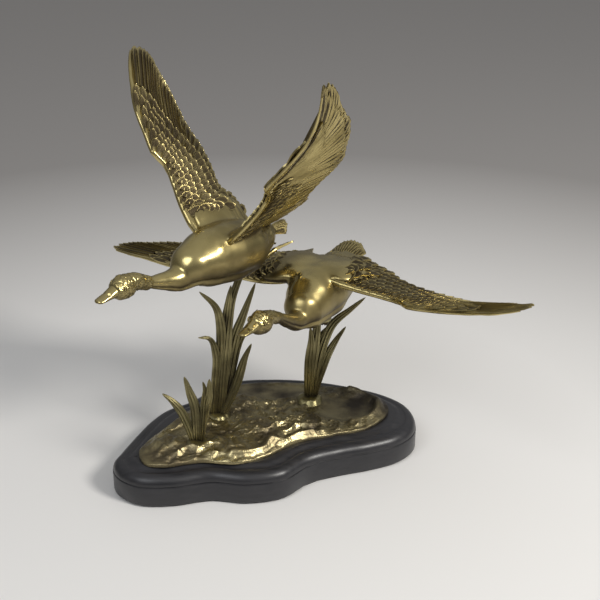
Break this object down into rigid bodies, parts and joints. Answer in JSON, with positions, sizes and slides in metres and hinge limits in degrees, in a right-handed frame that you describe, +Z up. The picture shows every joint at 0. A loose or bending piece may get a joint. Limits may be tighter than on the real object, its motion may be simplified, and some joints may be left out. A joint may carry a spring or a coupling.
{
  "type": "brass waterfowl figurine",
  "caption": "Brass figurine of geese in flight, carried by cast reeds over a marsh plate on a free-form black wooden plinth with a moulded edge and a felt underside.",
  "frame": {"origin": "on the underside of the felt, at the middle of the plinth", "axes": "+Z up, +X to the right of someone who faces the front, +Y away from them; the birds fly towards -X and -Y"},
  "size_m": [0.2406, 0.1691, 0.2517],
  "materials": {
    "polished_brass": "hand-polished casting, lightly aged",
    "feather_brass": "chased casting, bright on the high spots and brown in the grooves",
    "reed_brass": "satin casting, darkened",
    "ground_brass": "rough casting, dark in the hollows",
    "screw_steel": "plated",
    "black_lacquer": "black satin lacquer over wood",
    "black_felt": "thin pressed felt"
  },
  "bodies": {
    "root": {"felt_pad": "black_felt", "plinth": "black_lacquer", "ground_plate": "ground_brass", "tall_reeds": "reed_brass", "front_reeds": "reed_brass", "right_reeds": "reed_brass", "tall_reeds_screw": "screw_steel", "tall_reeds_washer": "screw_steel", "front_reeds_screw": "screw_steel", "front_reeds_washer": "screw_steel", "right_reeds_screw": "screw_steel", "right_reeds_washer": "screw_steel", "upper_bird_body": "polished_brass", "upper_bird_left_wing": "feather_brass", "upper_bird_right_wing": "feather_brass", "upper_bird_tail": "feather_brass", "upper_bird_left_foot": "polished_brass", "upper_bird_right_foot": "polished_brass", "upper_bird_belly_screw": "polished_brass", "lower_bird_body": "polished_brass", "lower_bird_left_wing": "feather_brass", "lower_bird_right_wing": "feather_brass", "lower_bird_tail": "feather_brass", "lower_bird_left_foot": "polished_brass", "lower_bird_right_foot": "polished_brass", "lower_bird_belly_screw": "polished_brass"}
  },
  "joints": []
}
